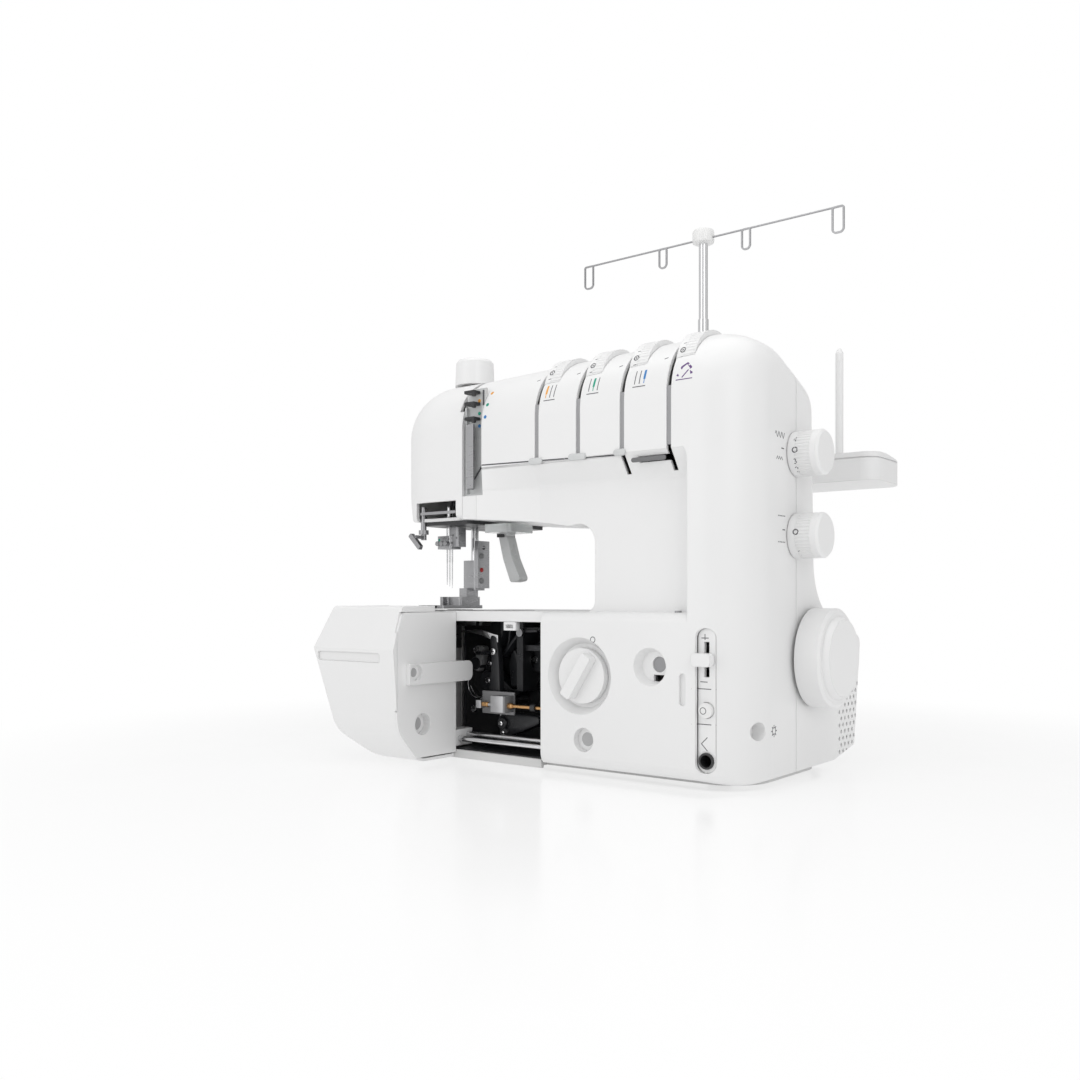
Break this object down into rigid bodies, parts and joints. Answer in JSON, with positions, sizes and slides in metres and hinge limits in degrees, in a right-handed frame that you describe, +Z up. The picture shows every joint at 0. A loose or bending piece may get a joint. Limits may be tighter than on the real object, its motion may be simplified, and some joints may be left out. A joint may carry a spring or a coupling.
{
  "type": "overlock and coverstitch sewing machine",
  "caption": "White household overlock and coverstitch sewing machine with tension wheels, side dials, handwheel, open looper cover and a raised thread stand.",
  "frame": {"origin": "bottom centre of the whole machine's box, on the table", "axes": "+Z up, +X to the right as the user faces the machine, -Y towards the user"},
  "size_m": [0.414, 0.371, 0.503],
  "materials": {
    "casing": "smooth white moulded casing, fine eggshell gloss",
    "tray_plastic": "white moulded plastic with a faint grain",
    "button_plastic": "translucent white button",
    "dark_plastic": "dark moulded plastic",
    "pale_metal": "pale powder coated sheet",
    "rubber": "dark rubber foot",
    "cast_alloy": "die cast frame",
    "black_casting": "black painted casting",
    "plate_steel": "satin ground stitch plate",
    "bright_steel": "bright plated steel",
    "ground_steel": "ground steel",
    "bronze": "sintered bronze bush",
    "belt_rubber": "black toothed belt",
    "clear_plastic": "frosted clear plastic"
  },
  "bodies": {
    "machine": {"front_cover": "casing", "rear_cover": "casing", "face_plate": "casing", "bed_cover": "casing", "cover_catch": "casing", "free_arm_shell": "casing", "spool_tray": "tray_plastic", "spool_pins": "tray_plastic", "control_panel": "casing", "knee_socket": "dark_plastic", "base_plate": "pale_metal", "rubber_feet": "rubber", "main_frame": "cast_alloy", "looper_housing": "black_casting", "needle_plate": "plate_steel", "cover_rails": "bright_steel", "shaft_bushes": "bronze", "motor_body": "black_casting", "timing_belt": "belt_rubber", "motor_belt": "belt_rubber", "tension_discs": "bright_steel", "channel_liner": "dark_plastic", "thread_hooks": "dark_plastic", "thread_bracket": "bright_steel", "head_plate": "dark_plastic", "lamp_lens": "clear_plastic", "mast_lower": "bright_steel", "power_inlet": "dark_plastic", "housing_screws": "ground_steel"},
    "looper_door": {"looper_cover": "casing", "cover_frame": "casing"},
    "drive_train": {"handwheel": "casing", "main_shaft": "ground_steel"},
    "arm_shaft": {"upper_shaft": "ground_steel"},
    "motor_rotor": {"motor_pulley": "ground_steel"},
    "needle_assembly": {"needle_bar": "bright_steel", "needle_clamp": "ground_steel", "needles": "bright_steel"},
    "presser_assembly": {"presser_bar": "bright_steel", "presser_foot": "ground_steel"},
    "lifter": {"presser_lifter": "clear_plastic"},
    "looper_assembly": {"looper": "ground_steel", "looper_shaft": "ground_steel"},
    "main_feed": {"feed_dog_main": "ground_steel"},
    "front_feed": {"feed_dog_front": "ground_steel"},
    "tension_dial_1": {"tension_wheel_1": "casing"},
    "tension_dial_2": {"tension_wheel_2": "casing"},
    "tension_dial_3": {"tension_wheel_3": "casing"},
    "tension_dial_4": {"tension_wheel_4": "casing"},
    "length_knob": {"stitch_length_knob": "casing"},
    "ratio_knob": {"feed_ratio_knob": "casing"},
    "dial": {"front_dial": "casing"},
    "foot_pressure_knob": {"pressure_knob": "casing"},
    "slider": {"speed_slider": "casing"},
    "button": {"light_button": "button_plastic"},
    "switch": {"power_switch": "dark_plastic"},
    "mast_second": {"mast_middle": "bright_steel"},
    "mast_head": {"mast_top": "bright_steel", "thread_guide_bar": "bright_steel"},
    "threader": {"needle_threader": "ground_steel"}
  },
  "joints": [
    {"name": "looper_cover_slide", "type": "slide", "parent": "machine", "child": "looper_door", "axis": [1, 0, 0], "range_m": [0, 0.094]},
    {"name": "handwheel_turn", "type": "hinge", "parent": "machine", "child": "drive_train", "pos_m": [0.179, 0.0025, 0.095], "axis": [1, 0, 0], "continuous": true},
    {"name": "arm_shaft_turn", "type": "hinge", "parent": "machine", "child": "arm_shaft", "pos_m": [0.089, -0.0695, 0.244], "axis": [1, 0, 0], "continuous": true},
    {"name": "motor_turn", "type": "hinge", "parent": "machine", "child": "motor_rotor", "pos_m": [0.125, 0.0735, 0.052], "axis": [1, 0, 0], "continuous": true},
    {"name": "needle_bar_slide", "type": "slide", "parent": "machine", "child": "needle_assembly", "axis": [0, 0, 1], "range_m": [-0.03, 0]},
    {"name": "presser_bar_slide", "type": "slide", "parent": "machine", "child": "presser_assembly", "axis": [0, 0, 1], "range_m": [0, 0.006]},
    {"name": "presser_lifter_swing", "type": "hinge", "parent": "machine", "child": "lifter", "pos_m": [-0.097, -0.0495, 0.203], "axis": [0, 1, 0], "range_deg": [-35, 0]},
    {"name": "looper_swing", "type": "hinge", "parent": "machine", "child": "looper_assembly", "pos_m": [-0.083, -0.0805, 0.05], "axis": [0, 1, 0], "range_deg": [-12, 12]},
    {"name": "main_feed_slide", "type": "slide", "parent": "machine", "child": "main_feed", "axis": [0, 1, 0], "range_m": [-0.002, 0.002]},
    {"name": "front_feed_slide", "type": "slide", "parent": "machine", "child": "front_feed", "axis": [0, 1, 0], "range_m": [-0.002, 0.002]},
    {"name": "tension_turn_1", "type": "hinge", "parent": "machine", "child": "tension_dial_1", "pos_m": [-0.0012, -0.0705, 0.31033], "axis": [1, 0, 0], "range_deg": [-135, 135]},
    {"name": "tension_turn_2", "type": "hinge", "parent": "machine", "child": "tension_dial_2", "pos_m": [0.041, -0.0705, 0.31163], "axis": [1, 0, 0], "range_deg": [-135, 135]},
    {"name": "tension_turn_3", "type": "hinge", "parent": "machine", "child": "tension_dial_3", "pos_m": [0.0832, -0.0705, 0.31293], "axis": [1, 0, 0], "range_deg": [-135, 135]},
    {"name": "tension_turn_4", "type": "hinge", "parent": "machine", "child": "tension_dial_4", "pos_m": [0.1254, -0.0705, 0.31423], "axis": [1, 0, 0], "range_deg": [-135, 135]},
    {"name": "stitch_length_turn", "type": "hinge", "parent": "machine", "child": "length_knob", "pos_m": [0.191, -0.0265, 0.255], "axis": [1, 0, 0], "range_deg": [-120, 150]},
    {"name": "feed_ratio_turn", "type": "hinge", "parent": "machine", "child": "ratio_knob", "pos_m": [0.191, -0.0265, 0.191], "axis": [1, 0, 0], "range_deg": [-120, 150]},
    {"name": "front_dial_turn", "type": "hinge", "parent": "machine", "child": "dial", "pos_m": [0.033, -0.1115, 0.08], "axis": [0, 1, 0], "range_deg": [-60, 60]},
    {"name": "pressure_knob_turn", "type": "hinge", "parent": "machine", "child": "foot_pressure_knob", "pos_m": [-0.128, -0.0585, 0.35], "axis": [0, 0, 1], "range_deg": [-270, 270]},
    {"name": "speed_slide", "type": "slide", "parent": "machine", "child": "slider", "axis": [0, 0, 1], "range_m": [-0.0095, 0.0095]},
    {"name": "light_button_press", "type": "slide", "parent": "machine", "child": "button", "axis": [0, 1, 0], "range_m": [0, 0.002], "stiffness_N_per_m": 300, "springref_m": -0.002},
    {"name": "power_switch_rock", "type": "hinge", "parent": "machine", "child": "switch", "pos_m": [0.134, 0.1015, 0.062], "axis": [1, 0, 0], "range_deg": [-10, 10]},
    {"name": "mast_second_slide", "type": "slide", "parent": "machine", "child": "mast_second", "axis": [0, 0, 1], "range_m": [-0.06, 0]},
    {"name": "mast_head_slide", "type": "slide", "parent": "mast_second", "child": "mast_head", "axis": [0, 0, 1], "range_m": [-0.05, 0]},
    {"name": "needle_threader_swing", "type": "hinge", "parent": "machine", "child": "threader", "pos_m": [-0.15, -0.1045, 0.2], "axis": [0, 0, 1], "range_deg": [0, 45]}
  ],
  "couplings": [
    {"joint": "arm_shaft_turn", "follows": "handwheel_turn", "ratio": 1},
    {"joint": "motor_turn", "follows": "handwheel_turn", "ratio": 3.3333},
    {"joint": "front_feed_slide", "follows": "main_feed_slide", "ratio": 1}
  ]
}
